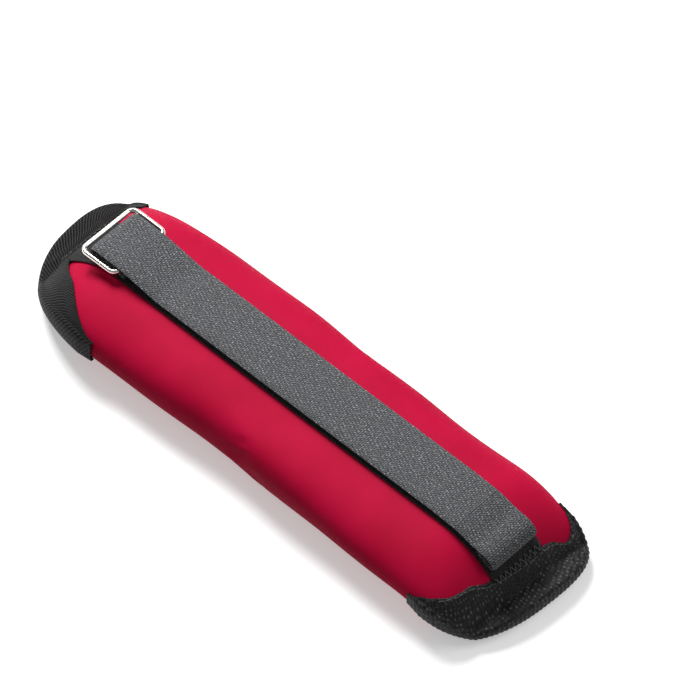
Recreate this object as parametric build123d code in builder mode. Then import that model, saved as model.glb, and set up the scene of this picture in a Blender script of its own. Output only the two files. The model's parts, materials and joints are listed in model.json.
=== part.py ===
from build123d import *

import os
from math import acos, asin, cos, degrees, radians, sin, sqrt, tan

# Ankle cuff weight, laid flat. X runs along the cuff from the ring (-X) to the sewn end of the
# loop tape (+X), Y across it, Z up. The side worn against the leg is the flat underside, Z = 0.
# The soft cuff bends round the leg about lines across it, so it is held as seven sections that
# meet at six hinge lines, numbered from the ring end.

# Cuff, millimetres
cuff_length = 290
cuff_width = 85
cuff_height = 31
track_width = 34  # flat crown that carries the tape and the strap
end_round = 42  # length of the rounded end, seen from above
shoulder_x = 105  # where the top starts to fall towards each end
shoulder_radius = 32
rim_top = 10  # the flat sewn rim at each end
rim_bottom = 3
underside_flat = 120  # half length of the part that rests flat

# Layers of the cuff
cover_thickness = 3
bag_wall = 0.8
layer_gap = 0.2
cavity_half_length = 124  # the cover's two faces are sewn together beyond this

# Bending round the leg
section_count = 7
section_pitch = 38
hinge_height = 13
wrap_limit = 44  # degrees at each hinge line
section_gap = 0.6

# End bindings
binding_thickness = 1
left_binding_width = 12
right_binding_width = 15
binding_reach = 34  # how far the binding runs back along the cuff's sides

# Tape, strap and the clearances between them
tape_width = 29
tape_thickness = 1.2
strap_width = 27.5
strap_thickness = 1.6
moving_clearance = 0.3
hook_thickness = 0.6
strap_height = tape_thickness + moving_clearance + hook_thickness
tape_end_inset = 6  # from the rim to each end of the tape
seam_margin = 0.3  # half the gap between two strap lengths at a hinge line

# Ring
wire_diameter = 2.3
ring_bar_x = -98  # axis of the bar held in the fold, which is the swing axis
ring_depth = 20  # from bar to bar, on the wire's axis
ring_corner = 3.2
ring_side_clearance = 0.95

# Strap fold and tip
fold_nose_gap = 1.5  # from the fold to the ring's outer bar
fold_lower_end = -96
ramp_length = 17
tip_hinge_x = 101  # where the free tip peels off, about the strap's top face
tip_gap = 0.8
tip_end_x = 114
hem_length = 8.5
hem_height = 4.6
hook_start_x = 103.5
hook_end_x = 112

# Stitching
thread_diameter = 0.6
stitch_length = 2.2
stitch_count = 9
stitch_inset = 1.8  # from the end of the tape to its stitches

# Worked out from the sizes above
half_length = cuff_length / 2 - binding_thickness
section_half_gap = section_gap / 2
hinge_lines = [(i - (section_count - 2) / 2) * section_pitch for i in range(section_count - 1)]
first_hinge, last_hinge = hinge_lines[0], hinge_lines[-1]
wrap_slope = tan(radians(wrap_limit / 2))
shoulder_centre_z = cuff_height - shoulder_radius
bag_inset = cover_thickness + layer_gap
sand_inset = bag_inset + bag_wall + layer_gap
wire_radius = wire_diameter / 2
rim_slope = rim_bottom / (half_length - underside_flat)
fold_bottom = cuff_height + tape_thickness
fold_inner_height = wire_diameter + 2 * moving_clearance
fold_outer_height = fold_inner_height + 2 * strap_thickness
ring_axis_z = fold_bottom + fold_outer_height / 2
ring_half_width = strap_width / 2 + ring_side_clearance + wire_radius


def side_profile(inset):
    """The cuff seen from the side, edges moved in by the inset; its rims run past the ends."""
    top = cuff_height - inset
    end_x = half_length + rim_top
    radius = shoulder_radius - inset
    rise = rim_top - inset - shoulder_centre_z
    crease_x = shoulder_x + sqrt(radius**2 - rise**2)
    crease_angle = degrees(asin(rise / radius))
    with BuildSketch(Plane.XZ) as profile:
        with BuildLine():
            Polyline(
                (0, top),
                (0, inset),
                (underside_flat, inset),
                (end_x, inset + rim_slope * (end_x - underside_flat)),
                (end_x, rim_top - inset),
                (crease_x, rim_top - inset),
            )
            CenterArc((shoulder_x, shoulder_centre_z), radius, crease_angle, 90 - crease_angle)
            Line((shoulder_x, top), (0, top))
        make_face()
        mirror(about=Plane.YZ)
    return profile.sketch


def cross_section(inset):
    """The cuff cut across: flat crown and underside, round sides."""
    half_height = cuff_height / 2 - inset
    side_reach = (cuff_width - track_width) / 2 - inset
    with BuildSketch(Plane.YZ.offset(-cuff_length)) as section:
        with Locations((0, cuff_height / 2)):
            Rectangle(track_width, 2 * half_height)
        with Locations((track_width / 2, cuff_height / 2), (-track_width / 2, cuff_height / 2)):
            Ellipse(side_reach, half_height)
    return section.sketch


def plan_outline(inset):
    """The cuff seen from above: parallel sides and rounded ends."""
    straight = half_length - end_round
    with BuildSketch(Plane.XY.offset(-cuff_height)) as outline:
        Rectangle(2 * straight, cuff_width - 2 * inset)
        with Locations((straight, 0), (-straight, 0)):
            Ellipse(end_round - inset, cuff_width / 2 - inset)
    return outline.sketch


def cavity_profile(inset):
    """The room inside the cover seen from the side; it stops short of the sewn rims."""
    end_x = cavity_half_length - inset + cover_thickness
    radius = shoulder_radius - inset
    end_angle = degrees(acos((end_x - shoulder_x) / radius))
    end_z = shoulder_centre_z + radius * sin(radians(end_angle))
    with BuildSketch(Plane.XZ) as profile:
        with BuildLine():
            Polyline(
                (0, cuff_height - inset),
                (0, inset),
                (underside_flat, inset),
                (end_x, inset + rim_slope * (end_x - underside_flat)),
                (end_x, end_z),
            )
            CenterArc((shoulder_x, shoulder_centre_z), radius, end_angle, 90 - end_angle)
            Line((shoulder_x, cuff_height - inset), (0, cuff_height - inset))
        make_face()
        mirror(about=Plane.YZ)
    return profile.sketch


def solid_of(profile, inset):
    """The solid with this side profile and the cuff's cross-section and plan, moved in."""
    with BuildPart() as body:
        extrude(cross_section(inset), amount=2 * cuff_length, dir=(1, 0, 0))
        extrude(profile, amount=cuff_width, both=True, mode=Mode.INTERSECT)
        extrude(plan_outline(inset), amount=3 * cuff_height, dir=(0, 0, 1), mode=Mode.INTERSECT)
    return body.part


def cuff_body(growth=0):
    """The cuff's solid shape, grown all round."""
    return solid_of(side_profile(-growth), -growth)


def hinge_gaps(margin):
    """The V-shaped gaps that let neighbouring sections fold down, widened by the margin."""
    below = cuff_height / 2
    half_gap = section_half_gap + margin
    reach = (hinge_height + below) * wrap_slope
    top = 2 * cuff_height
    with BuildPart() as gaps:
        with BuildSketch(Plane.XZ):
            for x in hinge_lines:
                with BuildLine():
                    Polyline(
                        (x - half_gap, top),
                        (x - half_gap, hinge_height),
                        (x - half_gap - reach, -below),
                        (x + half_gap + reach, -below),
                        (x + half_gap, hinge_height),
                        (x + half_gap, top),
                        close=True,
                    )
                make_face()
        extrude(amount=cuff_width, both=True)
    return gaps.part


def pockets(inset, margin):
    """The room inside the cover at this depth, as one closed pocket for each section."""
    with BuildPart() as room:
        add(solid_of(cavity_profile(inset), inset))
        add(hinge_gaps(margin), mode=Mode.SUBTRACT)
    return room.part


def band(inner, outer, start_x, end_x, width):
    """A strip that follows the cuff's top between two heights above it."""
    with BuildPart() as strip:
        with BuildSketch(Plane.XZ):
            add(side_profile(-outer))
            add(side_profile(-inner), mode=Mode.SUBTRACT)
            with Locations(((start_x + end_x) / 2, rim_bottom + cuff_height)):
                Rectangle(end_x - start_x, 2 * cuff_height, mode=Mode.INTERSECT)
        extrude(amount=width / 2, both=True)
    return strip.part


def write(piece, name):
    """Label one finished piece and write its STEP file."""
    piece.label = name
    export_step(piece, f"parts/{name}.step")


def write_sections(part, name):
    """Write the seven solids of a sectioned layer, counted from the ring end."""
    solids = part.solids().sort_by(Axis.X)
    for number, solid in enumerate(solids, start=1):
        write(solid, f"{name}_{number}")


os.makedirs("parts", exist_ok=True)

# Neoprene cover: a padded sleeve whose two faces are sewn together at the ends
with BuildPart() as cover:
    add(cuff_body())
    add(pockets(cover_thickness, 0), mode=Mode.SUBTRACT)
    add(hinge_gaps(0), mode=Mode.SUBTRACT)
write_sections(cover.part, "cover")

# Inner bag, in closed pockets, so that the sand can't run to one end
with BuildPart() as sand_bag:
    add(pockets(bag_inset, layer_gap))
    add(pockets(bag_inset + bag_wall, layer_gap + bag_wall), mode=Mode.SUBTRACT)
write_sections(sand_bag.part, "sand_bag")

# Iron sand filling the pockets
with BuildPart() as iron_sand:
    add(pockets(sand_inset, sand_inset - cover_thickness))
write_sections(iron_sand.part, "iron_sand")

# Loop tape along the crown, from rim to rim
with BuildPart() as loop_tape:
    tape_half_length = half_length - tape_end_inset
    add(band(0, tape_thickness, -tape_half_length, tape_half_length, tape_width))
    add(hinge_gaps(0), mode=Mode.SUBTRACT)
write_sections(loop_tape.part, "loop_tape")


def binding(side, width):
    """Binding tape folded over the rim of one end; side is -1 at the ring and 1 at the far end."""
    with BuildPart() as tape:
        add(cuff_body(binding_thickness))
        add(cuff_body(), mode=Mode.SUBTRACT)
        extrude(plan_outline(width), amount=3 * cuff_height, dir=(0, 0, 1), mode=Mode.SUBTRACT)
        centre_x = side * (half_length + binding_thickness - binding_reach / 2)
        with Locations((centre_x, 0, cuff_height / 2)):
            Box(binding_reach, 2 * cuff_width, 2 * cuff_height, mode=Mode.INTERSECT)
        add(band(0, tape_thickness, -cuff_length, cuff_length, tape_width), mode=Mode.SUBTRACT)
    return tape.part


write(binding(-1, left_binding_width), "left_binding")
write(binding(1, right_binding_width), "right_binding")

# Ring: one length of round wire bent into a rectangle, with the weld unseen
with BuildPart() as ring:
    with BuildLine(Plane.XY.offset(ring_axis_z)) as ring_path:
        corners = Polyline(
            (ring_bar_x, -ring_half_width),
            (ring_bar_x, ring_half_width),
            (ring_bar_x - ring_depth, ring_half_width),
            (ring_bar_x - ring_depth, -ring_half_width),
            close=True,
        )
        fillet(corners.vertices(), ring_corner)
    with BuildSketch(Plane((ring_bar_x, 0, ring_axis_z), z_dir=(0, 1, 0))):
        Circle(wire_radius)
    sweep(path=ring_path.wires()[0])
ring.part.label = "ring"
export_step(ring.part, "parts/ring.step")

# Fold of the strap round the ring's inner bar: two legs and a round nose
fold_nose_x = ring_bar_x - ring_depth + wire_radius + fold_nose_gap
with BuildPart() as strap_fold:
    with BuildSketch(Plane.XZ):
        nose_x = fold_nose_x + fold_outer_height / 2
        upper_end = first_hinge - seam_margin
        upper_z = fold_bottom + fold_outer_height - strap_thickness / 2
        lower_z = fold_bottom + strap_thickness / 2
        with Locations(((nose_x + upper_end) / 2, upper_z)):
            Rectangle(upper_end - nose_x, strap_thickness)
        with Locations(((nose_x + fold_lower_end) / 2, lower_z)):
            Rectangle(fold_lower_end - nose_x, strap_thickness)
        with BuildSketch(Plane.XZ, mode=Mode.PRIVATE) as nose:
            with Locations((nose_x, ring_axis_z)):
                Circle(fold_outer_height / 2)
                Circle(fold_inner_height / 2, mode=Mode.SUBTRACT)
            with Locations((nose_x - fold_outer_height / 2, ring_axis_z)):
                Rectangle(fold_outer_height, 2 * fold_outer_height, mode=Mode.INTERSECT)
        add(nose.sketch)
    extrude(amount=strap_width / 2, both=True)
strap_fold.part.label = "strap_fold"
export_step(strap_fold.part, "parts/strap_fold.step")

# Strap length beside the ring, coming down off the ring's bar to lie on the tape
strap_bottom = cuff_height + strap_height
fold_leg_bottom = fold_bottom + fold_outer_height - strap_thickness
with BuildPart() as strap_2:
    with BuildSketch(Plane.XZ):
        with BuildLine():
            start = first_hinge + seam_margin
            end = hinge_lines[1] - seam_margin
            ramp_end = start + ramp_length
            Polyline(
                (start, fold_leg_bottom),
                (ramp_end, strap_bottom),
                (end, strap_bottom),
                (end, strap_bottom + strap_thickness),
                (ramp_end, strap_bottom + strap_thickness),
                (start, fold_leg_bottom + strap_thickness),
                close=True,
            )
        make_face()
    extrude(amount=strap_width / 2, both=True)
strap_2.part.label = "strap_2"
export_step(strap_2.part, "parts/strap_2.step")

# Strap lengths lying on the tape, up to the line where the free tip peels off
strap_ends = [*hinge_lines[1:], tip_hinge_x]
for number, (left, right) in enumerate(zip(strap_ends, strap_ends[1:]), start=3):
    top_of_strap = strap_height + strap_thickness
    length = band(strap_height, top_of_strap, left + seam_margin, right - seam_margin, strap_width)
    write(length, f"strap_{number}")

# Free tip of the strap, with its end turned over into a hollow hem
with BuildPart() as strap_tip:
    tip_top = strap_height + strap_thickness
    add(band(strap_height, tip_top, tip_hinge_x + tip_gap, tip_end_x, strap_width))
    hem_angle = asin((tip_end_x - shoulder_x) / (shoulder_radius + strap_height))
    hem_radius = shoulder_radius + tape_thickness + moving_clearance + hem_height / 2
    along = hem_length / 2 - strap_thickness
    hem_x = shoulder_x + hem_radius * sin(hem_angle) + along * cos(hem_angle)
    hem_z = shoulder_centre_z + hem_radius * cos(hem_angle) - along * sin(hem_angle)
    with BuildSketch(Plane.XZ):
        with Locations(Location((hem_x, hem_z), -degrees(hem_angle))):
            SlotOverall(hem_length, hem_height)
    extrude(amount=strap_width / 2, both=True)
    with BuildSketch(Plane.XZ):
        with Locations(Location((hem_x, hem_z), -degrees(hem_angle))):
            SlotOverall(hem_length - 2 * strap_thickness, hem_height - 2 * strap_thickness)
    extrude(amount=strap_width / 2, both=True, mode=Mode.SUBTRACT)
strap_tip.part.label = "strap_tip"
export_step(strap_tip.part, "parts/strap_tip.step")

# Hook pad under the tip, which grips the loop tape
hook_bottom = tape_thickness + moving_clearance
write(band(hook_bottom, strap_height, hook_start_x, hook_end_x, strap_width - 3), "hook_pad")


def stitch_row(side):
    """A row of thread lengths across one end of the loop tape."""
    x = side * (half_length - tape_end_inset - stitch_inset)
    z = rim_top + tape_thickness + thread_diameter / 2
    with BuildPart() as row:
        with Locations((x, 0, z)):
            with GridLocations(1, tape_width / stitch_count, 1, stitch_count):
                Box(thread_diameter, stitch_length, thread_diameter)
    return row.part


write(stitch_row(-1), "left_tape_stitches")
write(stitch_row(1), "right_tape_stitches")
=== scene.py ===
import json
import math

import bmesh
import bpy
import numpy as np
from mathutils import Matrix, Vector
from mathutils.bvhtree import BVHTree

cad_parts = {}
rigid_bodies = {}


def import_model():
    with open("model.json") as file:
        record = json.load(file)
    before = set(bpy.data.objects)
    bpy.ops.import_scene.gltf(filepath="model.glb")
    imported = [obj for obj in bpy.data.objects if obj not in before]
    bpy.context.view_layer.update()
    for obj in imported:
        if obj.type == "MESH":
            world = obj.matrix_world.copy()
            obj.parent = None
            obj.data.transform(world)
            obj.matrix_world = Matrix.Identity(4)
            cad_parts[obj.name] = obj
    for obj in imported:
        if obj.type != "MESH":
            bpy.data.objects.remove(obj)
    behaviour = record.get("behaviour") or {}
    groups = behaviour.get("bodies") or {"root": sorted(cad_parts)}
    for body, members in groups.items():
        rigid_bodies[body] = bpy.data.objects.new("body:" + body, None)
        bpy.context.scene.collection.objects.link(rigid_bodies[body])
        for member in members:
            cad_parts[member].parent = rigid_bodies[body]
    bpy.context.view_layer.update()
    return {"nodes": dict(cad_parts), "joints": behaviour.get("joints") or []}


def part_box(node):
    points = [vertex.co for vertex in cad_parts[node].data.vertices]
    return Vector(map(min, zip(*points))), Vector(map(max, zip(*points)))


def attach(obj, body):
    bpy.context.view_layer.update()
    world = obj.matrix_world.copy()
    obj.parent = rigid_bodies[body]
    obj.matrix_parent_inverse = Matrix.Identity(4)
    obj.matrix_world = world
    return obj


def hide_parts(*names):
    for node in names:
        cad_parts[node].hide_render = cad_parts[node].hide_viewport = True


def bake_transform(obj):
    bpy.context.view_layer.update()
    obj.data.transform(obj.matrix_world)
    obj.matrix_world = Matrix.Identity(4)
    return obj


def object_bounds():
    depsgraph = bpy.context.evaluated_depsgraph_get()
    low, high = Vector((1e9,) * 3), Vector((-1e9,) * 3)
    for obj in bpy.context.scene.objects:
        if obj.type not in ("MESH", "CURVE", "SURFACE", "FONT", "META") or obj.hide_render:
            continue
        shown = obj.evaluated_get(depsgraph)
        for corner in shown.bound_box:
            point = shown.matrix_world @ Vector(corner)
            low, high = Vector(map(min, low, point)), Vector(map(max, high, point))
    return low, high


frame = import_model()

MM = 0.001

# ---------------------------------------------------------------- sizes, from the frame

cover_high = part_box("cover_4")[1]
tip_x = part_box("cover_7")[1][0]  # end of the cover, under the binding
half_width = cover_high[1]
cuff_height = cover_high[2]
fold_low, fold_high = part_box("strap_fold")
strap_low, strap_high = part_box("strap_4")
strap_half_width = strap_high[1]
strap_thickness = strap_high[2] - strap_low[2]
strap_lift = strap_low[2] - cuff_height  # the strap's underside above the crown
tape_low, tape_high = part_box("loop_tape_4")
tape_half_width = tape_high[1]
tape_thickness = tape_high[2] - tape_low[2]
tape_end_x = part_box("loop_tape_7")[1][0]
hook_low, hook_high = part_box("hook_pad")
hem_end_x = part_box("strap_tip")[1][0]

hinge_x = {}
for joint in frame["joints"]:
    if joint["name"].startswith("wrap_"):
        pair = sorted(int(joint[end].split("_")[1]) for end in ("parent", "child"))
        hinge_x[pair[0]] = joint["pos_m"][0]
hinge_z = frame["joints"][0]["pos_m"][2]
# middle of each section that has a neighbour on both sides, where the soft pieces are cut
cuts = [(hinge_x[n - 1] + hinge_x[n]) / 2 for n in range(2, 7)]
peel_x = next(j["pos_m"][0] for j in frame["joints"] if j["name"] == "tip_peel")
wrap_limit = next(j["range_deg"][1] for j in frame["joints"] if j["name"] == "wrap_5")
wrap_slope = math.tan(math.radians(wrap_limit / 2))  # each side of a hinge line gives way by half

LEFT, RIGHT = -1, 1
FRONT, BACK = -1, 1  # the long sides, at -Y and +Y

# The cuff's soft shape. Each corner in plan has the length of its round and a squareness.
corners = {
    (LEFT, FRONT): (60 * MM, 2.3),
    (LEFT, BACK): (26 * MM, 3.2),
    (RIGHT, FRONT): (42 * MM, 2.6),
    (RIGHT, BACK): (28 * MM, 3.4),
}
side_bow = {FRONT: 1.0 * MM, BACK: 3.5 * MM}  # how far each long side draws in towards its ends
# each long side's slow waviness: at some places along it, how far inside the CAD cover it lies
side_inset = {
    FRONT: ((-100 * MM, -0.6 * MM), (-5 * MM, 0.2 * MM), (105 * MM, -2.3 * MM)),
    BACK: ((-105 * MM, 5.4 * MM), (-50 * MM, 2.8 * MM), (8 * MM, 5.2 * MM),
           (75 * MM, 4.5 * MM), (115 * MM, 3.6 * MM)),
}
# how far each end is drawn out, and how much more of that towards the back side
end_reach = {LEFT: 0.2 * MM, RIGHT: -3.8 * MM}
end_lean = {LEFT: 0.1, RIGHT: 0.06}
end_start_x = 95 * MM
shoulder_x = {LEFT: 98 * MM, RIGHT: 92 * MM}  # where the crown starts to fall
rim_x = {LEFT: 134 * MM, RIGHT: 133 * MM}  # where the fall has reached the rim
rim_half_thickness = 3.0 * MM
rim_lift = 2.6 * MM  # how far the rim's underside lies off the table
binding_width = {LEFT: 12 * MM, RIGHT: 15 * MM}
# how far each binding runs back along each side, and how much it narrows on the way
binding_reach = {(LEFT, FRONT): 58 * MM, (LEFT, BACK): 18 * MM,
                 (RIGHT, FRONT): 42 * MM, (RIGHT, BACK): 28 * MM}
binding_narrowing = {(LEFT, FRONT): 0.93, (LEFT, BACK): 0.6,
                     (RIGHT, FRONT): 0.93, (RIGHT, BACK): 0.93}

cover_thickness = 1.2 * MM
ribbon_columns = 17  # points across each face of a tape or strap
puff_limit = 2.2 * MM  # the most that the filling may push the cover out
puff_frames = 18
puff_lengthwise = 0.3  # the share of that push kept along the cuff
binding_thickness = 1.1 * MM
binding_nose = 1.5 * MM  # how far the binding stands out past the rim
binding_columns = 260
sharp_angle = math.radians(60)


# ---------------------------------------------------------------- the padded body

def eased(x, table):
    """The value at x in a table of (place, value), joined by soft steps."""
    places, values = zip(*table)
    t = np.clip(np.interp(x, places, np.arange(len(places))), 0, len(places) - 1.001)
    i, share = int(t), t % 1
    return values[i] + (values[i + 1] - values[i]) * share * share * (3 - 2 * share)


def drawn_x(x, y):
    """Where a point at x goes when the cuff's ends are drawn out and leaned."""
    end = LEFT if x < 0 else RIGHT
    share = np.clip((abs(x) - end_start_x) / (tip_x - end_start_x), 0, 1)
    return x + end * (end_reach[end] + end_lean[end] * y) * share * share


def plan_half_width(x, side):
    """How far the cuff reaches to one side of its middle line at x, seen from above."""
    end = LEFT if x < 0 else RIGHT
    length, power = corners[(end, side)]
    s = np.clip((abs(x) - (tip_x - length)) / length, 0, 1)
    bow = side_bow[side] * (x / tip_x) ** 2
    straight = half_width - eased(x, side_inset[side]) - bow
    return straight * (1 - s ** power) ** (1 / power)


def thickness_profile(x):
    """Half thickness and middle height of the cuff at x."""
    end = LEFT if x < 0 else RIGHT
    t = np.clip((abs(x) - shoulder_x[end]) / (rim_x[end] - shoulder_x[end]), 0, 1)
    fall = (1 - t ** 2.1) ** (1 / 1.25)
    settled = np.clip((abs(x) - shoulder_x[end]) / (tip_x - shoulder_x[end]), 0, 1)
    half = rim_half_thickness + (cuff_height / 2 - rim_half_thickness) * fall
    middle = half + rim_lift * settled ** 3
    return half, middle


def cuff_ring(x, angles, slim):
    """One ring of points round the cuff, a superellipse that is a little square."""
    half, middle = thickness_profile(x)
    half = max(half - slim, 0.4 * MM)
    c, s = np.cos(angles), np.sin(angles)
    width = np.where(c < 0, plan_half_width(x, FRONT), plan_half_width(x, BACK)) - slim
    y = np.maximum(width, 0.3 * MM) * np.sign(c) * np.abs(c) ** 0.86
    z = middle + half * np.sign(s) * np.abs(s) ** 0.88
    return np.column_stack([drawn_x(x, y), y, z])


def grid_mesh(name, rings, closed):
    """A quad mesh from rows of points, with UVs in metres along the rows and round them."""
    rows, count = len(rings), len(rings[0])
    points = np.concatenate(rings)
    mesh = bpy.data.meshes.new(name)
    faces = []
    columns = count if closed else count - 1
    for i in range(rows - 1):
        for j in range(columns):
            k = (j + 1) % count
            faces.append((i * count + j, i * count + k,
                          (i + 1) * count + k, (i + 1) * count + j))
    mesh.from_pydata(points.tolist(), [], faces)
    along = np.concatenate([[0], np.cumsum([np.linalg.norm(b.mean(0) - a.mean(0))
                                            for a, b in zip(rings, rings[1:])])])
    middle = rings[rows // 2]
    steps = np.linalg.norm(np.roll(middle, -1, 0) - middle, axis=1)
    around = np.concatenate([[0], np.cumsum(steps)])
    uv = mesh.uv_layers.new(name="weave")
    values = []
    for i in range(rows - 1):
        for j in range(columns):
            a, b = around[j], around[j + 1]
            values += [along[i], a, along[i], b, along[i + 1], b, along[i + 1], a]
    uv.data.foreach_set("uv", np.array(values))
    mesh.polygons.foreach_set("use_smooth", [True] * len(mesh.polygons))
    mesh.validate()
    return new_object(name, mesh)


def new_object(name, mesh):
    piece = bpy.data.objects.new(name, mesh)
    bpy.context.collection.objects.link(piece)
    return piece


def activate(piece):
    bpy.ops.object.select_all(action="DESELECT")
    piece.select_set(True)
    bpy.context.view_layer.objects.active = piece


def make_body(name="cuff_skin", slim=0.0, step=2.4 * MM, around=112, end=None):
    """The whole padded body as one closed mesh, before it is cut into lengths."""
    end = end or tip_x - 0.05 * MM
    angles = np.linspace(0, 2 * math.pi, around, endpoint=False)
    bend_start = tip_x - max(length for length, power in corners.values())
    straight = np.arange(0, bend_start, step)
    bend = bend_start + (tip_x - bend_start) * np.sin(np.linspace(0, math.pi / 2, 38)[:-1])
    right = np.concatenate([straight, bend[bend < end], [end]])
    stations = np.concatenate([-right[:0:-1], right])
    rings = [cuff_ring(x, angles, slim) for x in stations]
    piece = grid_mesh(name, rings, closed=True)
    cap_ends(piece, len(rings), around)
    return piece


def puff(body):
    """Fill the cuff like a pillow: a short cloth simulation, held at rim and crown."""
    rest = np.array([v.co for v in body.data.vertices])
    group = body.vertex_groups.new(name="held")
    for v in body.data.vertices:
        x, y, z = v.co
        rim = np.clip((abs(x) - (rim_x[RIGHT] - 4 * MM)) / (6 * MM), 0, 1)
        strap_line = np.clip((18 * MM - abs(y)) / (4 * MM), 0, 1) * (z > cuff_height / 2)
        table = np.clip((2.2 * MM - z) / (2 * MM), 0, 1)
        group.add([v.index], float(max(rim, 0.85 * strap_line, 0.7 * table)), "REPLACE")
    cloth = body.modifiers.new("fill", "CLOTH")
    cloth.settings.quality = 6
    cloth.settings.mass = 0.25
    cloth.settings.tension_stiffness = 12
    cloth.settings.compression_stiffness = 12
    cloth.settings.bending_stiffness = 3
    cloth.settings.use_pressure = True
    cloth.settings.uniform_pressure_force = 3.0
    cloth.settings.vertex_group_mass = "held"
    cloth.settings.effector_weights.gravity = 0
    cloth.collision_settings.use_collision = False
    scene = bpy.context.scene
    for number in range(1, puff_frames + 1):
        scene.frame_set(number)
    shape = body.evaluated_get(bpy.context.evaluated_depsgraph_get())
    moved = np.array([v.co for v in shape.data.vertices])
    body.modifiers.remove(cloth)
    body.vertex_groups.clear()
    scene.frame_set(1)
    shift = moved - rest
    length = np.linalg.norm(shift, axis=1, keepdims=True)
    shift *= np.minimum(1, puff_limit / np.maximum(length, 1e-9))
    shift[:, 0] *= puff_lengthwise
    result = rest + shift
    result[:, 2] = np.maximum(result[:, 2], np.minimum(rest[:, 2], 0))
    body.data.vertices.foreach_set("co", result.ravel())
    body.data.update()


def settle(body):
    """The slow unevenness of sand under neoprene."""
    points = np.array([v.co for v in body.data.vertices])
    x, y, z = points.T
    away = 1 - np.clip((abs(x) - 110 * MM) / (20 * MM), 0, 1)
    wave = (0.55 * np.sin(x / (17 * MM) + 0.6 + y / (60 * MM))
            + 0.35 * np.sin(x / (9.5 * MM) - 1.1 - y / (35 * MM)))
    side = np.clip((abs(y) - 18 * MM) / (20 * MM), 0, 1) * (z > 3 * MM)
    points[:, 1] += np.sign(y) * wave * side * away * MM * 0.9
    points[:, 2] += wave * side * away * MM * 0.35
    body.data.vertices.foreach_set("co", points.ravel())
    body.data.update()


# ---------------------------------------------------------------- cutting into lengths

def cut_copy(piece, name, low, high):
    """A copy of a piece, kept only between two planes across the cuff."""
    mesh = piece.data.copy()
    mesh.name = name
    work = bmesh.new()
    work.from_mesh(mesh)
    for x, keep_above in ((low, True), (high, False)):
        if x is None:
            continue
        parts = work.verts[:] + work.edges[:] + work.faces[:]
        bmesh.ops.bisect_plane(work, geom=parts, plane_co=(x, 0, 0), plane_no=(1, 0, 0),
                               clear_inner=keep_above, clear_outer=not keep_above, dist=1e-7)
    work.to_mesh(mesh)
    work.free()
    return new_object(name, mesh)


def thicken(piece, depth):
    """Give an open sheet a thickness inwards, with sharp cut edges."""
    work = bmesh.new()
    work.from_mesh(piece.data)
    bmesh.ops.recalc_face_normals(work, faces=work.faces)
    bmesh.ops.solidify(work, geom=work.faces[:], thickness=depth)
    bmesh.ops.recalc_face_normals(work, faces=work.faces)
    work.to_mesh(piece.data)
    work.free()
    piece.data.set_sharp_from_angle(angle=sharp_angle)


def lengths_along(piece, name, replaced, depth=None):
    """Cut a piece at the middle of each section into lengths, and hide the CAD nodes that each
    length stands for."""
    edges = [None, *cuts, None]
    made = []
    for number in range(1, 7):
        low, high = edges[number - 1], edges[number]
        length = cut_copy(piece, f"{name}_{number}", low, high)
        if depth is not None:
            thicken(length, depth)
        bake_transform(length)
        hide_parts(*replaced(number))
        made.append(length)
    bpy.data.objects.remove(piece)
    return made


slot_node = {"bag_cloth": "sand_bag", "sand": "iron_sand"}


def inner_sections(name, slim, margin, slot, made_of):
    """Seven closed blocks inside the skin, one for each section, with room to bend between."""
    whole = make_body(name, slim=slim, end=tip_x - 20 * MM)
    for number in range(1, 8):
        mesh = whole.data.copy()
        work = bmesh.new()
        work.from_mesh(mesh)
        for line, way in ((number - 1, -1), (number, 1)):
            if line not in hinge_x:
                continue
            edge = (hinge_x[line] - way * margin, 0, hinge_z)
            for normal in ((way, 0, 0), (way, 0, -wrap_slope)):
                parts = work.verts[:] + work.edges[:] + work.faces[:]
                bmesh.ops.bisect_plane(work, geom=parts, plane_co=edge, plane_no=normal,
                                       clear_outer=True, dist=1e-7)
                rim = [edge for edge in work.edges if edge.is_boundary]
                bmesh.ops.holes_fill(work, edges=rim, sides=0)
        bmesh.ops.recalc_face_normals(work, faces=work.faces)
        work.to_mesh(mesh)
        work.free()
        mesh.set_sharp_from_angle(angle=math.radians(50))
        block = new_object(f"{name}_{number}", mesh)
        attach(block, f"section_{number}")
        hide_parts(f"{slot_node[slot]}_{number}")
        paint([block], made_of)
    bpy.data.objects.remove(whole)


# ---------------------------------------------------------------- ribbons: tape and strap

def ribbon(name, path, half, thickness, edge_drop=0.0):
    """A flat webbing length along a path of (x, z) points, with rounded selvedges."""
    path = np.array(path)
    tangents = np.gradient(path, axis=0)
    tangents /= np.linalg.norm(tangents, axis=1, keepdims=True)
    normals = np.column_stack([-tangents[:, 1], tangents[:, 0]])
    across = np.concatenate([np.linspace(-1, 1, ribbon_columns),
                             np.linspace(1, -1, ribbon_columns)])
    side = np.repeat([1.0, -1.0], ribbon_columns)
    rings = []
    for centre, normal in zip(path, normals):
        rounding = np.sqrt(np.clip(1 - ((np.abs(across) * half - (half - thickness / 2))
                                        / (thickness / 2)).clip(0, 1) ** 2, 0, 1))
        offset = side * thickness / 2 * rounding - edge_drop * across ** 2
        rings.append(np.column_stack([centre[0] + normal[0] * offset, across * half,
                                      centre[1] + normal[1] * offset]))
    piece = grid_mesh(name, rings, closed=True)
    cap_ends(piece, len(rings), len(rings[0]))
    piece.data.set_sharp_from_angle(angle=sharp_angle)
    return piece


def cap_ends(piece, rows, count):
    """Close the two open ends of a run of rings."""
    work = bmesh.new()
    work.from_mesh(piece.data)
    work.verts.ensure_lookup_table()
    for first in (0, (rows - 1) * count):
        ring = [work.verts[first + j] for j in range(count)]
        work.faces.new(ring if first else ring[::-1])
    bmesh.ops.remove_doubles(work, verts=work.verts, dist=1e-7)
    bmesh.ops.recalc_face_normals(work, faces=work.faces)
    work.to_mesh(piece.data)
    work.free()


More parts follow.
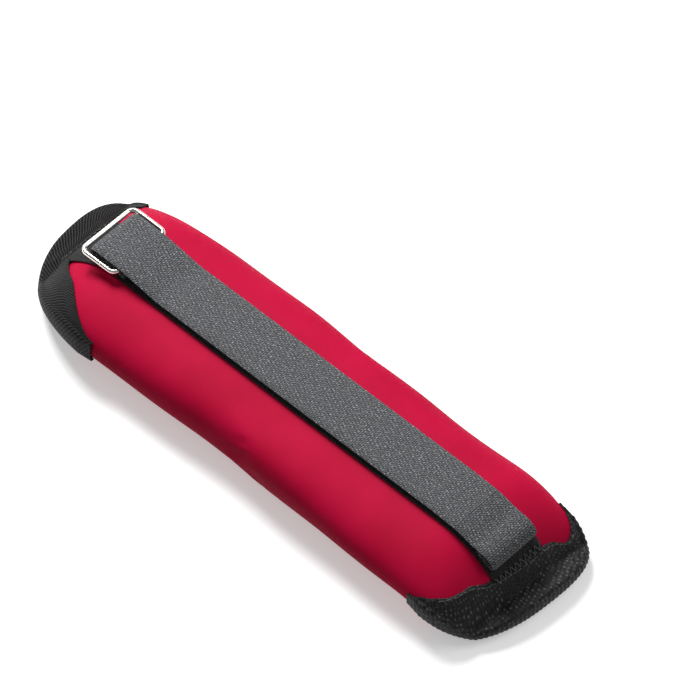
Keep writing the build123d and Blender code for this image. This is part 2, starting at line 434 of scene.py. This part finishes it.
def smooth_path(points, step):
    """Points along a Catmull-Rom curve through given (x, z) points, evenly spaced."""
    p = np.array([points[0], *points, points[-1]], float)
    dense = []
    for i in range(1, len(p) - 2):
        for t in np.linspace(0, 1, 24, endpoint=False):
            dense.append(0.5 * ((2 * p[i]) + (-p[i - 1] + p[i + 1]) * t
                                + (2 * p[i - 1] - 5 * p[i] + 4 * p[i + 1] - p[i + 2]) * t ** 2
                                + (-p[i - 1] + 3 * p[i] - 3 * p[i + 1] + p[i + 2]) * t ** 3))
    dense.append(p[-1])
    dense = np.array(dense)
    run = np.concatenate([[0], np.cumsum(np.linalg.norm(np.diff(dense, axis=0), axis=1))])
    places = np.linspace(0, run[-1], max(int(run[-1] / step), 2) + 1)
    return np.column_stack([np.interp(places, run, dense[:, k]) for k in range(2)])


class Surface:
    """Heights of the finished padded body, for laying things on it."""

    def __init__(self, body):
        graph = bpy.context.evaluated_depsgraph_get()
        self.tree = BVHTree.FromObject(body, graph)

    def top(self, x, y):
        hit = self.tree.ray_cast(Vector((x, y, 0.2)), Vector((0, 0, -1)))
        return hit[0].z if hit[0] else None

    def bottom(self, x, y):
        hit = self.tree.ray_cast(Vector((x, y, -0.1)), Vector((0, 0, 1)))
        return hit[0].z if hit[0] else None


class Crown:
    """The line along the top of the finished body, and places at a height above it."""

    def __init__(self, surface):
        self.x = np.arange(drawn_x(-tip_x, 0) + 3 * MM, drawn_x(tip_x, 0) - 2.9 * MM, 1 * MM)
        across = (-tape_half_width * 0.8, 0, tape_half_width * 0.8)
        tops = [[surface.top(x, y) for y in across] for x in self.x]
        z = np.array([max([t for t in row if t is not None], default=0.0) for row in tops])
        kernel = np.ones(5) / 5
        self.z = np.convolve(np.pad(z, 2, mode="edge"), kernel, mode="valid")
        slope = np.gradient(self.z, self.x)
        self.normal = np.column_stack([-slope, np.ones_like(slope)])
        self.normal /= np.linalg.norm(self.normal, axis=1, keepdims=True)

    def above(self, x, height):
        """The (x, z) point at this height above the crown, square to it."""
        normal = [np.interp(x, self.x, self.normal[:, k]) for k in range(2)]
        return (x + normal[0] * height, np.interp(x, self.x, self.z) + normal[1] * height)


def make_loop_tape(crown):
    stations = np.arange(drawn_x(-tape_end_x, 0), drawn_x(tape_end_x, 0), 2 * MM)
    path = [crown.above(x, tape_thickness / 2 + 0.1 * MM) for x in stations]
    return ribbon("loop_tape_run", path, tape_half_width, tape_thickness, edge_drop=0.5 * MM)


def strap_route(crown):
    """Middle line of the strap's top layer, from the fold in the ring to the peel line."""
    half = strap_thickness / 2
    nose = fold_low[0]
    upper = fold_high[2] - half
    lower = fold_low[2] + half
    middle = (upper + lower) / 2
    turn = (upper - lower) / 2
    points = [(fold_high[0] + 1 * MM, lower), (fold_high[0] - 8 * MM, lower),
              (nose + 4.2 * MM, lower)]
    for angle in (225, 180, 135):
        a = math.radians(angle)
        points.append((nose + half + turn + turn * math.cos(a), middle + turn * math.sin(a)))
    points += [(nose + 4.2 * MM, upper), (fold_high[0] - 8 * MM, upper),
               (fold_high[0] - 1 * MM, upper - 0.3 * MM)]
    points.append((fold_high[0] + 9 * MM, (upper + strap_low[2] + half) / 2))
    places = np.arange(fold_high[0] + 20 * MM, tip_start_x - 6 * MM, 9 * MM)
    points += [crown.above(x, strap_lift + half) for x in places]
    points.append(crown.above(tip_start_x, strap_lift + half))
    return points


def make_strap_tip(crown):
    """The strap's free end: past the peel line it lifts over its turned hem and comes back."""
    flat = strap_lift + strap_thickness / 2
    # each point is (distance before the hem's far end, height above the flat strap)
    hem = ((12.0, 0.1), (9.6, 0.7), (7.2, 1.9), (4.6, 2.9), (2.4, 2.9), (0.8, 1.9), (0.3, 0.6),
           (1.0, -0.6), (2.8, -1.1), (5.0, -1.1), (7.4, -0.9), (8.6, -0.8))
    places = [(tip_start_x, flat), (tip_start_x + 4 * MM, flat)]
    places += [(hem_end_x - (0.8 + before) * MM, flat + rise * MM) for before, rise in hem]
    path = smooth_path([crown.above(x, height) for x, height in places], 0.5 * MM)
    return ribbon("strap_tip_with_hem", path, strap_half_width, strap_thickness)


def make_hook_pad(crown):
    """The hook square sewn under the tip, with its rows of small hooks."""
    low = tape_thickness + 0.35 * MM
    thickness = strap_lift - low - 0.02 * MM
    stations = np.arange(hook_low[0], hook_high[0] + 0.1 * MM, 0.7 * MM)
    path = [crown.above(x, low + thickness / 2) for x in stations]
    return ribbon("hook_square", path, hook_high[1], thickness)


# ---------------------------------------------------------------- materials

def material(name, **sockets):
    """A Principled material with constant sockets set on the shader itself."""
    made = bpy.data.materials.new(name)
    made.use_nodes = True
    shader = made.node_tree.nodes["Principled BSDF"]
    for socket, value in sockets.items():
        shader.inputs[socket.replace("_", " ")].default_value = value
    return made, made.node_tree, shader


def node(tree, kind, **values):
    made = tree.nodes.new(kind)
    for key, value in values.items():
        if hasattr(made, key):
            setattr(made, key, value)
        else:
            made.inputs[key.replace("_", " ")].default_value = value
    return made


def uv_vector(tree, scale, turn=0.0):
    """UV coordinates in metres, scaled and turned about Z."""
    uv = node(tree, "ShaderNodeUVMap", uv_map="weave")
    mapping = node(tree, "ShaderNodeMapping")
    mapping.inputs["Scale"].default_value = scale
    mapping.inputs["Rotation"].default_value = (0, 0, turn)
    tree.links.new(uv.outputs["UV"], mapping.inputs["Vector"])
    return mapping.outputs["Vector"]


def ramp(tree, factor, stops):
    made = node(tree, "ShaderNodeValToRGB")
    made.color_ramp.elements[0].position, made.color_ramp.elements[0].color = stops[0]
    made.color_ramp.elements[1].position, made.color_ramp.elements[1].color = stops[-1]
    for position, colour in stops[1:-1]:
        made.color_ramp.elements.new(position).color = colour
    tree.links.new(factor, made.inputs["Fac"])
    return made.outputs["Color"]


def grey(value, tint=(1, 1, 1)):
    return (value * tint[0], value * tint[1], value * tint[2], 1)


def maths(tree, operation, a, b=None):
    made = node(tree, "ShaderNodeMath", operation=operation)
    for k, value in enumerate((a, b)):
        if value is None:
            continue
        if isinstance(value, (int, float)):
            made.inputs[k].default_value = value
        else:
            tree.links.new(value, made.inputs[k])
    return made.outputs[0]


def bump(tree, shader, height, strength, distance):
    made = node(tree, "ShaderNodeBump")
    made.inputs["Strength"].default_value = strength
    made.inputs["Distance"].default_value = distance
    tree.links.new(height, made.inputs["Height"])
    tree.links.new(made.outputs["Normal"], shader.inputs["Normal"])


def neoprene():
    """Crimson jersey bonded to foam: fine knit wales, a soft pile sheen, slow colour drift."""
    made, tree, shader = material("crimson_neoprene", Roughness=0.6, Sheen_Weight=0.05,
                                  Sheen_Roughness=0.4, Sheen_Tint=(1.0, 0.1, 0.25, 1),
                                  Specular_IOR_Level=0.07)
    fine = uv_vector(tree, (1, 1, 1))
    wales = node(tree, "ShaderNodeTexWave", wave_type="BANDS", bands_direction="Y",
                 Scale=2200 / 2, Distortion=1.6, Detail=2.0, Detail_Scale=2.0)
    courses = node(tree, "ShaderNodeTexWave", wave_type="BANDS", bands_direction="X",
                   Scale=1500 / 2, Distortion=1.2, Detail=1.0, Detail_Scale=2.0)
    fuzz = node(tree, "ShaderNodeTexNoise", Scale=2600, Detail=3.0, Roughness=0.6)
    drift = node(tree, "ShaderNodeTexNoise", Scale=34, Detail=2.0, Roughness=0.5)
    for texture in (wales, courses, fuzz, drift):
        tree.links.new(fine, texture.inputs["Vector"])
    knit = maths(tree, "MULTIPLY", wales.outputs["Fac"], courses.outputs["Fac"])
    height = maths(tree, "ADD", knit, maths(tree, "MULTIPLY", fuzz.outputs["Fac"], 0.8))
    shade = maths(tree, "ADD", maths(tree, "MULTIPLY", drift.outputs["Fac"], 0.6),
                  maths(tree, "MULTIPLY", height, 0.22))
    colour = ramp(tree, shade, [(0.25, (0.44, 0.0012, 0.030, 1)), (0.5, (0.52, 0.002, 0.042, 1)),
                                (0.78, (0.60, 0.005, 0.058, 1))])
    tree.links.new(colour, shader.inputs["Base Color"])
    bump(tree, shader, height, 0.35, 0.00012)
    return made


def strap_webbing():
    """Grey melange elastic: a fine diagonal weave with scattered pale and dark fibres."""
    made, tree, shader = material("grey_melange_webbing", Roughness=0.72, Sheen_Weight=0.08,
                                  Sheen_Roughness=0.5, Specular_IOR_Level=0.25)
    flat = uv_vector(tree, (1, 1, 1))
    twill = uv_vector(tree, (1, 1, 1), turn=math.radians(38))
    diagonal = node(tree, "ShaderNodeTexWave", wave_type="BANDS", bands_direction="X",
                    Scale=310, Distortion=2.4, Detail=2.0, Detail_Scale=3.0)
    rows = node(tree, "ShaderNodeTexWave", wave_type="BANDS", bands_direction="X",
                Scale=330, Distortion=0.8, Detail=1.0, Detail_Scale=2.0)
    flecks = node(tree, "ShaderNodeTexNoise", Scale=1150, Detail=2.0, Roughness=0.65)
    fibres = node(tree, "ShaderNodeTexNoise", Scale=2700, Detail=2.0, Roughness=0.6)
    tree.links.new(twill, diagonal.inputs["Vector"])
    for texture in (rows, flecks, fibres):
        tree.links.new(flat, texture.inputs["Vector"])
    weave = maths(tree, "MULTIPLY", diagonal.outputs["Fac"], rows.outputs["Fac"])
    speck = ramp(tree, flecks.outputs["Fac"], [(0.5, grey(0)), (0.72, grey(1))])
    mix = maths(tree, "ADD", maths(tree, "MULTIPLY", weave, 0.45),
                maths(tree, "ADD", maths(tree, "MULTIPLY", speck, 0.5),
                      maths(tree, "MULTIPLY", fibres.outputs["Fac"], 0.35)))
    tint = (0.98, 1.0, 1.07)
    colour = ramp(tree, mix, [(0.12, grey(0.02, tint)), (0.42, grey(0.095, tint)),
                              (0.7, grey(0.25, tint)), (0.95, grey(0.55, tint))])
    tree.links.new(colour, shader.inputs["Base Color"])
    bump(tree, shader, mix, 0.5, 0.0002)
    return made


def twill_tape():
    """Black binding: steep diagonal ribs of polyester, the ridges painted a little paler as a
    painted highlight.
    """
    made, tree, shader = material("black_twill_binding", Roughness=0.62, Sheen_Weight=0.01,
                                  Sheen_Roughness=0.5, Specular_IOR_Level=0.12)
    flat = uv_vector(tree, (1, 1, 1))
    turned = uv_vector(tree, (1, 1, 1), turn=math.radians(48))
    ribs = node(tree, "ShaderNodeTexWave", wave_type="BANDS", bands_direction="X",
                Scale=250, Distortion=1.1, Detail=1.0, Detail_Scale=2.0)
    yarns = node(tree, "ShaderNodeTexWave", wave_type="BANDS", bands_direction="Y",
                 Scale=420, Distortion=1.0, Detail=1.0, Detail_Scale=2.0)
    fuzz = node(tree, "ShaderNodeTexNoise", Scale=1900, Detail=3.0, Roughness=0.6)
    tree.links.new(turned, ribs.inputs["Vector"])
    for texture in (yarns, fuzz):
        tree.links.new(flat, texture.inputs["Vector"])
    height = maths(tree, "ADD", ribs.outputs["Fac"],
                   maths(tree, "MULTIPLY", yarns.outputs["Fac"], 0.3))
    mix = maths(tree, "ADD", maths(tree, "MULTIPLY", height, 0.6),
                maths(tree, "MULTIPLY", fuzz.outputs["Fac"], 0.35))
    # painted highlight: the high parts of the ribs get a paler colour
    colour = ramp(tree, mix, [(0.2, grey(0.0015)), (0.6, grey(0.007)), (0.95, grey(0.06))])
    tree.links.new(colour, shader.inputs["Base Color"])
    bump(tree, shader, height, 0.7, 0.00035)
    return made


def knit_tape():
    """Black knitted binding: rows of plump loops with a dull shine on each."""
    made, tree, shader = material("black_knit_binding", Roughness=0.55, Sheen_Weight=0.03,
                                  Sheen_Roughness=0.5, Specular_IOR_Level=0.25)
    flat = uv_vector(tree, (560, 430, 1), turn=math.radians(20))
    fine = uv_vector(tree, (1, 1, 1))
    loops = node(tree, "ShaderNodeTexVoronoi", Scale=1.0, Randomness=0.35)
    fuzz = node(tree, "ShaderNodeTexNoise", Scale=1700, Detail=3.0, Roughness=0.6)
    tree.links.new(flat, loops.inputs["Vector"])
    tree.links.new(fine, fuzz.inputs["Vector"])
    height = maths(tree, "SUBTRACT", 1.0, loops.outputs["Distance"])
    mix = maths(tree, "ADD", maths(tree, "MULTIPLY", height, 0.7),
                maths(tree, "MULTIPLY", fuzz.outputs["Fac"], 0.3))
    colour = ramp(tree, mix, [(0.4, grey(0.002)), (0.66, grey(0.012)), (0.82, grey(0.16))])
    tree.links.new(colour, shader.inputs["Base Color"])
    bump(tree, shader, mix, 0.9, 0.0006)
    return made


def loop_pile():
    """Black loop tape: a short, even pile that catches a dull light."""
    made, tree, shader = material("black_loop_pile", Roughness=0.85, Sheen_Weight=0.06,
                                  Sheen_Roughness=0.6, Specular_IOR_Level=0.12)
    flat = uv_vector(tree, (1, 1, 1))
    loops = node(tree, "ShaderNodeTexVoronoi", Scale=1500)
    fuzz = node(tree, "ShaderNodeTexNoise", Scale=700, Detail=4.0, Roughness=0.7)
    for texture in (loops, fuzz):
        tree.links.new(flat, texture.inputs["Vector"])
    height = maths(tree, "ADD", loops.outputs["Distance"],
                   maths(tree, "MULTIPLY", fuzz.outputs["Fac"], 0.8))
    colour = ramp(tree, height, [(0.2, grey(0.002)), (0.7, grey(0.008)), (1.0, grey(0.03))])
    tree.links.new(colour, shader.inputs["Base Color"])
    bump(tree, shader, height, 0.6, 0.0002)
    return made


def ring_steel():
    """Nickel-plated wire with a faint drawn grain."""
    made, tree, shader = material("nickel_plated_wire", Metallic=1.0)
    shader.inputs["Base Color"].default_value = (0.80, 0.77, 0.73, 1)
    where = node(tree, "ShaderNodeTexCoord")
    grain = node(tree, "ShaderNodeTexNoise", Scale=900, Detail=3.0, Roughness=0.6)
    tree.links.new(where.outputs["Object"], grain.inputs["Vector"])
    rough = ramp(tree, grain.outputs["Fac"], [(0.3, grey(0.13)), (0.8, grey(0.27))])
    tree.links.new(rough, shader.inputs["Roughness"])
    bump(tree, shader, grain.outputs["Fac"], 0.08, 0.00005)
    return made


def thread():
    """Black polyester sewing thread, slightly glossy and twisted."""
    made, tree, shader = material("black_thread", Roughness=0.45, Specular_IOR_Level=0.5)
    where = node(tree, "ShaderNodeTexCoord")
    twist = node(tree, "ShaderNodeTexWave", wave_type="BANDS", bands_direction="DIAGONAL",
                 Scale=900, Distortion=0.5)
    tree.links.new(where.outputs["Object"], twist.inputs["Vector"])
    colour = ramp(tree, twist.outputs["Fac"], [(0.1, grey(0.012)), (0.9, grey(0.09))])
    tree.links.new(colour, shader.inputs["Base Color"])
    bump(tree, shader, twist.outputs["Fac"], 0.4, 0.0001)
    return made


def bag_cloth():
    """Undyed woven lining of the inner bag."""
    made, tree, shader = material("lining_cloth", Roughness=0.8)
    where = node(tree, "ShaderNodeTexCoord")
    weave = node(tree, "ShaderNodeTexChecker", Scale=1400)
    dirt = node(tree, "ShaderNodeTexNoise", Scale=60, Detail=3.0)
    for texture in (weave, dirt):
        tree.links.new(where.outputs["Object"], texture.inputs["Vector"])
    mix = maths(tree, "ADD", maths(tree, "MULTIPLY", weave.outputs["Fac"], 0.2),
                dirt.outputs["Fac"])
    colour = ramp(tree, mix, [(0.2, grey(0.32)), (1.0, grey(0.62))])
    tree.links.new(colour, shader.inputs["Base Color"])
    bump(tree, shader, mix, 0.3, 0.0002)
    return made


def iron_sand():
    """Dark grains with a few bright metallic ones."""
    made, tree, shader = material("iron_sand_grains", Roughness=0.5, Metallic=0.4)
    where = node(tree, "ShaderNodeTexCoord")
    grains = node(tree, "ShaderNodeTexVoronoi", Scale=1600)
    tree.links.new(where.outputs["Object"], grains.inputs["Vector"])
    colour = ramp(tree, grains.outputs["Color"], [(0.1, grey(0.01)), (0.7, grey(0.06)),
                                                  (1.0, grey(0.3))])
    tree.links.new(colour, shader.inputs["Base Color"])
    bump(tree, shader, grains.outputs["Distance"], 0.8, 0.0005)
    return made


def hook_moulding():
    """Black moulded hooks in close rows."""
    made, tree, shader = material("black_hooks", Roughness=0.45)
    flat = uv_vector(tree, (1, 1, 1))
    rows = node(tree, "ShaderNodeTexVoronoi", Scale=900)
    tree.links.new(flat, rows.inputs["Vector"])
    colour = ramp(tree, rows.outputs["Distance"], [(0.1, grey(0.008)), (0.8, grey(0.04))])
    tree.links.new(colour, shader.inputs["Base Color"])
    bump(tree, shader, rows.outputs["Distance"], 0.9, 0.0006)
    return made


def paint(pieces, made):
    for piece in pieces:
        piece.data.materials.clear()
        piece.data.materials.append(made)


# ---------------------------------------------------------------- bindings and stitches

def rim_path(side, count):
    """Evenly spaced points along one end's sewn rim, from the front side seam to the back one."""
    dense = []
    for t in np.linspace(-1, 1, 1200):
        long_side = BACK if t > 0 else FRONT
        reach = binding_reach[(side, long_side)]
        x = side * (tip_x - reach * (1 - math.cos(t * math.pi / 2)))
        y = long_side * plan_half_width(x, long_side)
        dense.append((drawn_x(x, y), y))
    dense = np.array(dense)
    run = np.concatenate([[0], np.cumsum(np.linalg.norm(np.diff(dense, axis=0), axis=1))])
    places = np.linspace(0, run[-1], count)
    points = np.column_stack([np.interp(places, run, dense[:, k]) for k in range(2)])
    for _ in range(3):  # ease the kink where the two sides' curves meet at the tip
        points[1:-1] = (points[:-2] + 2 * points[1:-1] + points[2:]) / 4
    tangents = np.gradient(points, axis=0)
    tangents /= np.linalg.norm(tangents, axis=1, keepdims=True)
    inward = side * np.column_stack([-tangents[:, 1], tangents[:, 0]])
    return points, inward, places


def taper(side, share):
    """The binding's width along the rim, as a share: it narrows where it runs down the sides."""
    long_side = BACK if share > 0.5 else FRONT
    t = np.clip((abs(2 * share - 1) - 0.4) / 0.6, 0, 1)
    return 1 - binding_narrowing[(side, long_side)] * t * t * (3 - 2 * t)


def over_tape(x, y):
    """How much a binding is lifted by the loop tape that runs under it."""
    beside = np.clip((tape_half_width + 3 * MM - abs(y)) / (4 * MM), 0, 1)
    end_x = abs(drawn_x(math.copysign(tape_end_x, x), 0))
    beyond = np.clip((end_x + 0.8 * MM - abs(x)) / (1.2 * MM), 0, 1)
    return tape_thickness * beside * beyond


def make_binding(side, surface, knit):
    """Tape folded over the rim: laid on the body's top, round the edge and under it."""
    count = binding_columns
    points, inward, places = rim_path(side, count)
    rings = []
    for number, ((x, y), (nx, ny)) in enumerate(zip(points, inward)):
        width = binding_width[side] * taper(side, number / (count - 1))
        edge_z = thickness_profile(x)[1]
        close = np.clip(min(number, count - 1 - number) / 16, 0.12, 1)  # thins to its cut ends
        inner = np.linspace(width, 0, 12)
        wale = math.sin(places[number] / knit[0] * 2 * math.pi)
        upper, lower = [], []
        for d in inner:
            px, py = x + nx * max(d, 1.2 * MM), y + ny * max(d, 1.2 * MM)
            top = surface.top(px, py)
            bottom = surface.bottom(px, py)
            top = edge_z + 0.6 * MM if top is None else top
            bottom = edge_z - 0.6 * MM if bottom is None else bottom
            lift = binding_thickness * (0.25 if d == inner[0] else 1.0) * close
            knot = knit[1] * wale * math.sin(d / knit[0] * math.pi + number * 0.6)
            upper.append((x + nx * d, y + ny * d, top + lift + over_tape(px, py) + knot))
            lower.append((x + nx * d, y + ny * d, max(bottom - lift, 0.15 * MM)))
        half = (upper[-1][2] - lower[-1][2]) / 2
        middle = (upper[-1][2] + lower[-1][2]) / 2
        nose = []
        for angle in np.linspace(90, -90, 9)[1:-1]:
            a = math.radians(angle)
            out = (binding_nose + knit[1] * wale) * close * math.cos(a)
            nose.append((x - nx * out, y - ny * out, middle + half * math.sin(a)))
        rings.append(np.array(upper + nose + lower[::-1]))
    name = "ring_end_binding" if side == LEFT else "sewn_end_binding"
    piece = grid_mesh(name, rings, closed=False)
    solid = piece.modifiers.new("thickness", "SOLIDIFY")
    solid.thickness = 0.8 * MM
    solid.offset = -1
    smooth = piece.modifiers.new("smooth", "SUBSURF")
    smooth.levels = smooth.render_levels = 1
    activate(piece)
    for modifier in list(piece.modifiers):
        bpy.ops.object.modifier_apply(modifier=modifier.name)
    return piece


def binding_stitches(side, surface):
    """A line of stitches along the binding's inner edge."""
    points, inward, places = rim_path(side, 900)
    stitches, gap, inset = 2.4 * MM, 0.9 * MM, 1.8 * MM
    made = []
    for start in np.arange(places[-1] * 0.12, places[-1] * 0.88, stitches + gap):
        ends = []
        for run in (start, start + stitches):
            number = int(np.searchsorted(places, run))
            (x, y), (nx, ny) = points[number], inward[number]
            d = binding_width[side] * taper(side, number / (len(points) - 1)) - inset
            px, py = x + nx * d, y + ny * d
            top = surface.top(px, py)
            if top is not None:
                ends.append((px, py, top + 1.25 * MM + over_tape(px, py)))
        if len(ends) == 2:
            made.append(tuple(ends))
    return made


def zigzag(x, crown, height, pitch=1.5 * MM, depth=2.2 * MM):
    """Zigzag stitches across the tape, as (start, end) pairs."""
    ys = np.arange(-tape_half_width + 0.8 * MM, tape_half_width - 0.5 * MM, pitch)
    ends = []
    for number, y in enumerate(ys):
        px = x + depth / 2 * (1 if number % 2 else -1)
        px, pz = crown.above(px, height)
        ends.append((px, y, pz))
    return list(zip(ends, ends[1:]))


def thread_loops(name, places, radius=0.28 * MM):
    """One mesh of short sewn thread lengths; each place is (start, end) of a stitch."""
    rings_total, faces = [], []
    for start, end in places:
        start, end = np.array(start), np.array(end)
        along = end - start
        axis = along / np.linalg.norm(along)
        side = np.cross(axis, (0, 0, 1.0))
        side /= max(np.linalg.norm(side), 1e-9)
        up = np.cross(side, axis)
        base = len(rings_total) * 6
        for t in np.linspace(0, 1, 7):
            sink = -0.35 * MM * (2 * t - 1) ** 4
            centre = start + along * t + up * sink
            rings_total.append(np.array([centre + radius * (side * math.cos(a) + up * math.sin(a))
                                         for a in np.linspace(0, 2 * math.pi, 6, endpoint=False)]))
        for i in range(6):
            for j in range(6):
                k = (j + 1) % 6
                faces.append((base + i * 6 + j, base + i * 6 + k,
                              base + (i + 1) * 6 + k, base + (i + 1) * 6 + j))
    mesh = bpy.data.meshes.new(name)
    mesh.from_pydata(np.concatenate(rings_total).tolist(), [], faces)
    mesh.polygons.foreach_set("use_smooth", [True] * len(mesh.polygons))
    return new_object(name, mesh)


# ---------------------------------------------------------------- floor, light and camera

def make_floor(height):
    mesh = bpy.data.meshes.new("floor")
    size = 6.0
    mesh.from_pydata([(-size, -size, 0), (size, -size, 0), (size, size, 0), (-size, size, 0)],
                     [], [(0, 1, 2, 3)])
    floor = new_object("floor", mesh)
    floor.location.z = height
    made, tree, shader = material("pale_floor", Roughness=0.9)
    shader.inputs["Base Color"].default_value = (0.93, 0.93, 0.93, 1)
    shader.inputs["Emission Color"].default_value = (1, 1, 1, 1)
    shader.inputs["Emission Strength"].default_value = 0.38
    floor.data.materials.append(made)
    floor.visible_diffuse = False  # throws no light back up, as a studio's cut-out ground


def area_light(name, position, target, size, power):
    data = bpy.data.lights.new(name, "AREA")
    data.shape = "RECTANGLE"
    data.size, data.size_y = size
    data.energy = power
    light = bpy.data.objects.new(name, data)
    bpy.context.collection.objects.link(light)
    light.location = position
    aim = Vector(target) - Vector(position)
    light.rotation_euler = aim.to_track_quat("-Z", "Y").to_euler()


def make_lights():
    world = bpy.data.worlds.new("studio")
    bpy.context.scene.world = world
    world.use_nodes = True
    background = world.node_tree.nodes["Background"]
    background.inputs["Color"].default_value = (1, 1, 1, 1)
    background.inputs["Strength"].default_value = 0.25
    area_light("key", (-1.1, 0.5, 1.3), (0, 0, 0), (0.7, 0.7), 36)
    area_light("fill", (0.8, 0.9, 1.3), (0, 0, 0), (1.0, 1.0), 6)
    bpy.context.scene.view_settings.view_transform = "Standard"


def make_camera():
    """A long lens, looking down at the cuff from its open front side."""
    azimuth, elevation, distance = math.radians(133.5), math.radians(52), 3.15
    target = Vector((-14.6, 44.0, 0)) * MM
    forward = Vector((math.cos(azimuth) * math.cos(elevation),
                      math.sin(azimuth) * math.cos(elevation), -math.sin(elevation)))
    data = bpy.data.cameras.new("camera")
    data.sensor_width = 36
    data.lens = 373
    data.clip_end = 20
    camera = bpy.data.objects.new("camera", data)
    bpy.context.collection.objects.link(camera)
    camera.location = target - forward * distance
    camera.rotation_euler = forward.to_track_quat("-Z", "Y").to_euler()
    bpy.context.scene.camera = camera


# ---------------------------------------------------------------- putting it together

make_camera()
make_lights()

red = neoprene()
webbing = strap_webbing()
twill = twill_tape()
knit = knit_tape()
pile = loop_pile()
black_thread = thread()

skin = make_body()
puff(skin)
settle(skin)
surface = Surface(skin)
crown = Crown(surface)
tip_start_x = peel_x - 1 * MM


def with_last(name):
    """The CAD nodes that a length stands for; the last one stands for two."""
    return lambda number: [f"{name}_{number}"] + ([f"{name}_7"] if number == 6 else [])


def strap_nodes(number):
    return ["strap_fold", "strap_2"] if number == 1 else [f"strap_{number + 1}"]


def stand_for(piece, made_of, replaced):
    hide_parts(replaced)
    paint([piece], made_of)


def hold_trim(piece, number):
    """An end's trim: at the ring end it reaches past a hinge line and stays where it is; at the
    other end it moves with its section.
    """
    if number == 1:
        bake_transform(piece)
    else:
        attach(piece, f"section_{number}")


for side, number, knot, made_of in ((LEFT, 1, (1.9 * MM, 0.05 * MM), twill),
                                    (RIGHT, 7, (2.3 * MM, 0.3 * MM), knit)):
    end = "left" if side == LEFT else "right"
    binding = make_binding(side, surface, knot)
    hold_trim(binding, number)
    stand_for(binding, made_of, f"{end}_binding")
    edge = drawn_x(side * tip_x, 0) - side * (binding_width[side] + 1 * MM)
    across = zigzag(edge, crown, 1.75 * MM)
    rows = thread_loops(f"{end}_end_stitches", binding_stitches(side, surface) + across)
    hold_trim(rows, number)
    stand_for(rows, black_thread, f"{end}_tape_stitches")

tape = make_loop_tape(crown)
strap = ribbon("strap_run", smooth_path(strap_route(crown), 1.2 * MM), strap_half_width,
               strap_thickness)
tip = make_strap_tip(crown)
hooks = make_hook_pad(crown)

skins = lengths_along(skin, "cuff_cover", with_last("cover"),
                      depth=cover_thickness)
paint(skins, red)
tapes = lengths_along(tape, "loop_tape_length", with_last("loop_tape"))
paint(tapes, pile)
straps = lengths_along(strap, "strap_length", strap_nodes)
paint(straps, webbing)

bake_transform(tip)
stand_for(tip, webbing, "strap_tip")
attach(hooks, "strap_tip")
stand_for(hooks, hook_moulding(), "hook_pad")

inner_sections("inner_bag", 3.4 * MM, 0.9 * MM, "bag_cloth", bag_cloth())
inner_sections("sand_fill", 4.4 * MM, 1.9 * MM, "sand", iron_sand())

paint([frame["nodes"]["ring"]], ring_steel())

visual_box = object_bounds()
make_floor(visual_box[0][2])  # the bindings lie just below the cover's underside
